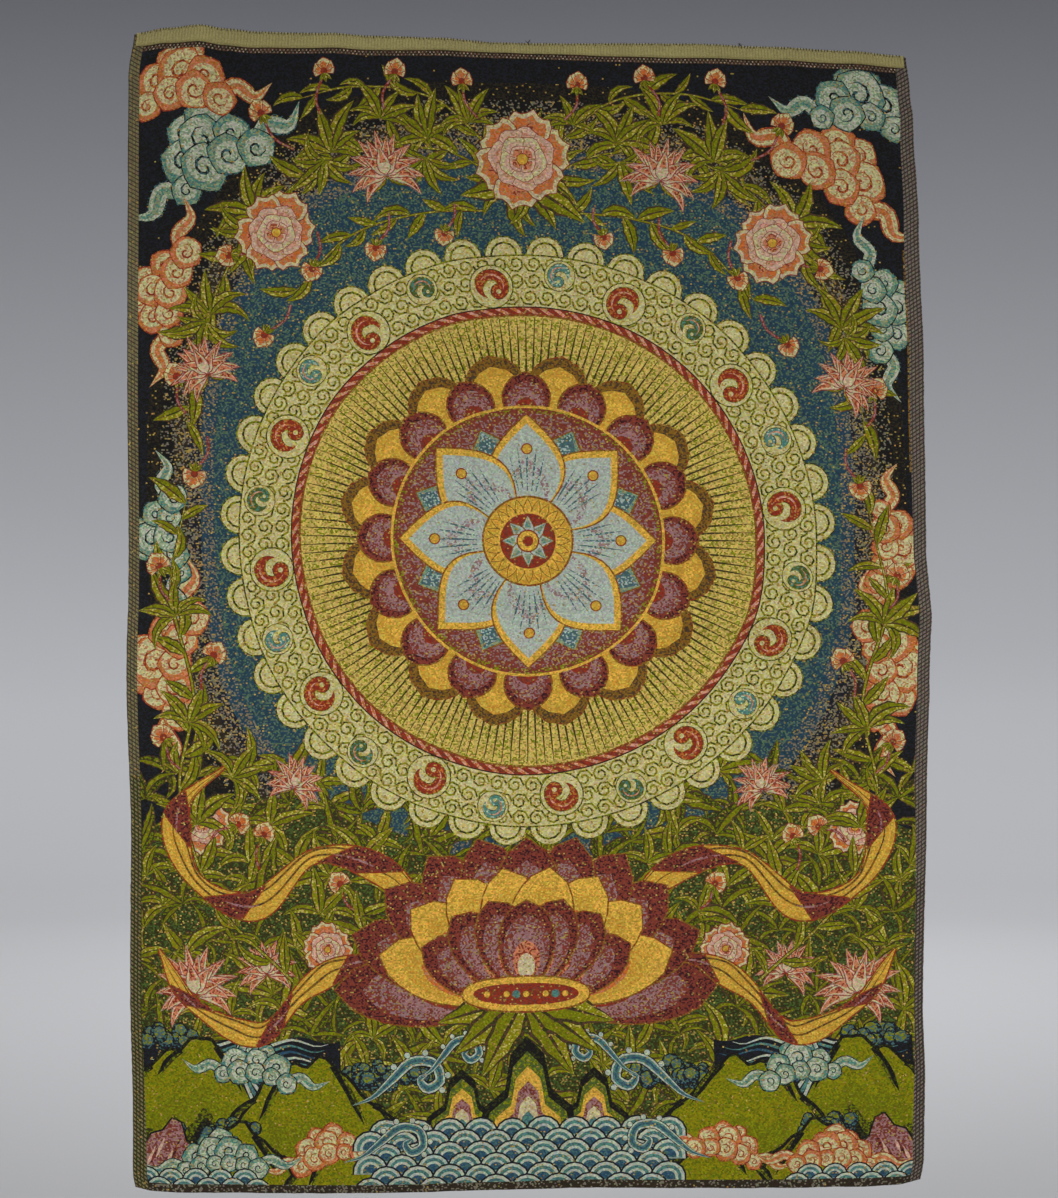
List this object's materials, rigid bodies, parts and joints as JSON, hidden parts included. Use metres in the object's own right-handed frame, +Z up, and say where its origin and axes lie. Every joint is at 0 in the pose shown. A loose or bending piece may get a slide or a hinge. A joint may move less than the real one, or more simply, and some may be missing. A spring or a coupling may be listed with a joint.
{
  "type": "hanging woven brocade scroll picture",
  "caption": "Flat woven brocade picture cloth that hangs by its top edge, with turned-back side and foot hems, a bound top edge, a post crease across the middle and soft hanging folds.",
  "frame": {"origin": "middle of the top edge, where the hanging is held", "axes": "+Z up, the picture's front faces -Y, +X is to the right as seen from the front"},
  "size_m": [0.6109, 0.0177, 0.8845],
  "materials": {
    "brocade": "figured weave of many colours with glinting gold thread, dark twill edges",
    "heading": "matte ribbed tape, khaki yellow"
  },
  "bodies": {
    "root": {"brocade_panel": "brocade", "heading_tape": "heading"}
  },
  "joints": []
}
